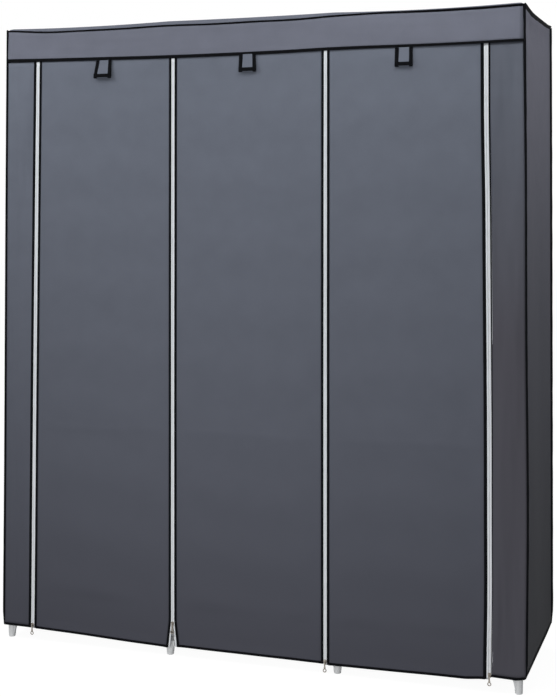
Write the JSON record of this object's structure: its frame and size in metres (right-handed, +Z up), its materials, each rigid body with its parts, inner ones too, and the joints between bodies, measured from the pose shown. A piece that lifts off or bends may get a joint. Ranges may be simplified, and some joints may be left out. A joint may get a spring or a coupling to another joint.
{
  "type": "portable fabric wardrobe",
  "caption": "Free-standing wardrobe: grey cloth cover with roll-up zip doors over a steel tube frame with cloth shelves and a hanging rail.",
  "frame": {"origin": "on the floor, at the bottom centre of the whole part's box", "axes": "+X along the width to the right of someone who faces the doors, +Y from the doors to the back, +Z up"},
  "size_m": [1.5036, 0.468, 1.75],
  "materials": {
    "grey_fabric": "matte",
    "black_edging": "matte",
    "white_tape": "matte",
    "zip_metal": "satin",
    "grey_plastic": "satin",
    "steel_tube": "satin"
  },
  "bodies": {
    "wardrobe": {"front_left_upright": "steel_tube", "front_middle_left_upright": "steel_tube", "front_middle_right_upright": "steel_tube", "front_right_upright": "steel_tube", "back_left_upright": "steel_tube", "back_middle_left_upright": "steel_tube", "back_middle_right_upright": "steel_tube", "back_right_upright": "steel_tube", "front_left_foot": "grey_plastic", "front_middle_left_foot": "grey_plastic", "front_middle_right_foot": "grey_plastic", "front_right_foot": "grey_plastic", "back_left_foot": "grey_plastic", "back_middle_left_foot": "grey_plastic", "back_middle_right_foot": "grey_plastic", "back_right_foot": "grey_plastic", "bottom_level_frame": "steel_tube", "top_level_frame": "steel_tube", "middle_shelf_1_frame": "steel_tube", "middle_shelf_2_frame": "steel_tube", "hanging_rail": "steel_tube", "bottom_cloth_shelf": "grey_fabric", "middle_shelf_1_cloth": "grey_fabric", "middle_shelf_2_cloth": "grey_fabric", "cover_roof": "grey_fabric", "cover_left_side": "grey_fabric", "cover_right_side": "grey_fabric", "cover_back": "grey_fabric", "front_left_strip": "grey_fabric", "front_right_strip": "grey_fabric", "front_valance": "grey_fabric", "cover_piping": "black_edging", "zip_1_left_tape": "white_tape", "zip_4_right_tape": "white_tape"},
    "left_door": {"left_door_hem": "black_edging", "left_door_panel": "grey_fabric", "left_door_binding": "black_edging", "zip_1_right_tape": "white_tape", "zip_2_left_tape": "white_tape"},
    "middle_door": {"middle_door_hem": "black_edging", "middle_door_panel": "grey_fabric", "middle_door_binding": "black_edging", "zip_2_right_tape": "white_tape", "zip_3_left_tape": "white_tape"},
    "right_door": {"right_door_hem": "black_edging", "right_door_panel": "grey_fabric", "right_door_binding": "black_edging", "zip_3_right_tape": "white_tape", "zip_4_left_tape": "white_tape"},
    "zip_1_slider_body": {"zip_1_slider": "zip_metal"},
    "zip_2_slider_body": {"zip_2_slider": "zip_metal"},
    "zip_3_slider_body": {"zip_3_slider": "zip_metal"},
    "zip_4_slider_body": {"zip_4_slider": "zip_metal"},
    "zip_1_pull_body": {"zip_1_pull": "zip_metal"},
    "zip_2_pull_body": {"zip_2_pull": "zip_metal"},
    "zip_3_pull_body": {"zip_3_pull": "zip_metal"},
    "zip_4_pull_body": {"zip_4_pull": "zip_metal"},
    "left_strap": {"left_strap_loop": "grey_fabric"},
    "middle_strap": {"middle_strap_loop": "grey_fabric"},
    "right_strap": {"right_strap_loop": "grey_fabric"}
  },
  "joints": [
    {"name": "left_door_roll", "type": "slide", "parent": "wardrobe", "child": "left_door", "axis": [0.0059, 0, 1], "range_m": [0, 1.5], "deforming": ["left_door_panel", "left_door_binding", "zip_1_right_tape", "zip_2_left_tape"]},
    {"name": "middle_door_roll", "type": "slide", "parent": "wardrobe", "child": "middle_door", "axis": [0.0007, 0, 1], "range_m": [0, 1.5], "deforming": ["middle_door_panel", "middle_door_binding", "zip_2_right_tape", "zip_3_left_tape"]},
    {"name": "right_door_roll", "type": "slide", "parent": "wardrobe", "child": "right_door", "axis": [-0.0028, 0, 1], "range_m": [0, 1.5], "deforming": ["right_door_panel", "right_door_binding", "zip_3_right_tape", "zip_4_left_tape"]},
    {"name": "zip_1_slide", "type": "slide", "parent": "wardrobe", "child": "zip_1_slider_body", "axis": [0.011, 0, 0.9999], "range_m": [0, 1.59]},
    {"name": "zip_2_slide", "type": "slide", "parent": "wardrobe", "child": "zip_2_slider_body", "axis": [0.0008, 0, 1], "range_m": [-0.05, 1.545]},
    {"name": "zip_3_slide", "type": "slide", "parent": "wardrobe", "child": "zip_3_slider_body", "axis": [0.0006, 0, 1], "range_m": [0, 1.6]},
    {"name": "zip_4_slide", "type": "slide", "parent": "wardrobe", "child": "zip_4_slider_body", "axis": [-0.0063, 0, 1], "range_m": [0, 1.59]},
    {"name": "zip_1_pull_swing", "type": "hinge", "parent": "zip_1_slider_body", "child": "zip_1_pull_body", "pos_m": [-0.65756, -0.22833, 0.044], "axis": [-0.9999, 0, 0.011], "range_deg": [0, 150]},
    {"name": "zip_2_pull_swing", "type": "hinge", "parent": "zip_2_slider_body", "child": "zip_2_pull_body", "pos_m": [-0.22256, -0.22833, 0.09], "axis": [-1, 0, 0.0008], "range_deg": [0, 150]},
    {"name": "zip_3_pull_swing", "type": "hinge", "parent": "zip_3_slider_body", "child": "zip_3_pull_body", "pos_m": [0.21609, -0.22833, 0.032], "axis": [-1, 0, 0.0006], "range_deg": [0, 150]},
    {"name": "zip_4_pull_swing", "type": "hinge", "parent": "zip_4_slider_body", "child": "zip_4_pull_body", "pos_m": [0.65466, -0.22833, 0.045], "axis": [-1, 0, -0.0063], "range_deg": [0, 150]},
    {"name": "left_strap_swing", "type": "hinge", "parent": "wardrobe", "child": "left_strap", "pos_m": [-0.43065, -0.22793, 1.6477], "axis": [-1, 0, 0], "range_deg": [0, 95]},
    {"name": "middle_strap_swing", "type": "hinge", "parent": "wardrobe", "child": "middle_strap", "pos_m": [-0.00215, -0.22793, 1.6477], "axis": [-1, 0, 0], "range_deg": [0, 95]},
    {"name": "right_strap_swing", "type": "hinge", "parent": "wardrobe", "child": "right_strap", "pos_m": [0.43034, -0.22793, 1.6477], "axis": [-1, 0, 0], "range_deg": [0, 95]}
  ]
}
